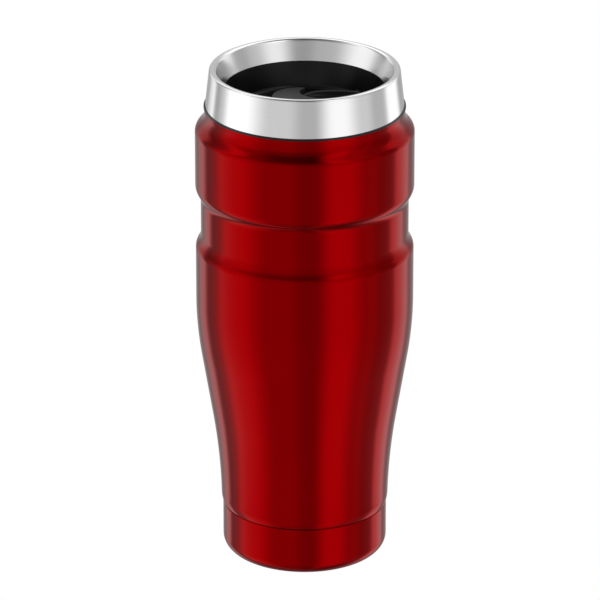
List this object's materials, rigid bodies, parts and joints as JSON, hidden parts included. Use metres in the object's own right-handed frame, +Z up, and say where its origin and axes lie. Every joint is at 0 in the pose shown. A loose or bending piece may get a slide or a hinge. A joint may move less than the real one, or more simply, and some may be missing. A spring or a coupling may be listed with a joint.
{
  "type": "insulated travel mug",
  "caption": "Tall vacuum-walled steel travel mug, waisted body with a grip groove, tapered steel rim ring, and a screw lid with a drinking opening and a swivel gate.",
  "frame": {"origin": "centre of the underside of the base, on the surface that the mug stands on", "axes": "+Z up along the mug's axis; +X along the long axis of the drinking opening; +Y from the axis towards the side of the lid that the drinking opening lies on"},
  "size_m": [0.0862, 0.0862, 0.2032],
  "materials": {
    "red_lacquer": "metallic candy red lacquer, glossy clear coat",
    "liner_steel": "bright drawn stainless steel, fine turned grain",
    "ring_steel": "satin stainless steel, fine turned grain",
    "clip_steel": "bare stainless sheet",
    "spring_steel": "bright stainless steel",
    "bead_metal": "dull brazing metal",
    "getter_metal": "dark pressed metal powder",
    "foil_metal": "bright foil, slightly crinkled",
    "lid_plastic": "black moulded polypropylene, semi-gloss",
    "lever_plastic": "black moulded plastic, polished",
    "gate_plastic": "black moulded plastic, satin",
    "gasket_silicone": "translucent grey silicone",
    "seal_silicone": "grey silicone"
  },
  "bodies": {
    "vessel": {"outer_shell": "red_lacquer", "inner_liner": "liner_steel", "base_cup": "red_lacquer", "evacuation_seal": "bead_metal", "getter_pill": "getter_metal", "getter_clip": "clip_steel", "radiation_foil": "foil_metal"},
    "seal_carrier": {"lid_gasket": "gasket_silicone"},
    "lid": {"lid_plug": "lid_plastic", "lid_body": "lid_plastic", "rim_ring": "ring_steel"},
    "gate": {"swivel_lever": "lever_plastic", "shaft_o_ring": "seal_silicone", "gate_rotor": "gate_plastic", "gate_seal": "seal_silicone", "vent_seal": "seal_silicone", "disc_spring": "spring_steel", "thrust_washer": "spring_steel", "rotor_screw": "spring_steel"}
  },
  "joints": [
    {"name": "lid_lift", "type": "slide", "parent": "vessel", "child": "seal_carrier", "axis": [0, 0, 1], "range_m": [0, 0.0271]},
    {"name": "lid_turn", "type": "hinge", "parent": "seal_carrier", "child": "lid", "pos_m": [0, 0, 0.18], "axis": [0, 0, 1], "range_deg": [0, 1080]},
    {"name": "gate_turn", "type": "hinge", "parent": "lid", "child": "gate", "pos_m": [0, 0, 0.184], "axis": [0, 0, 1], "range_deg": [-60, 0]}
  ],
  "couplings": [
    {"joint": "lid_lift", "follows": "lid_turn", "m_per_rad": 0.0014324}
  ]
}
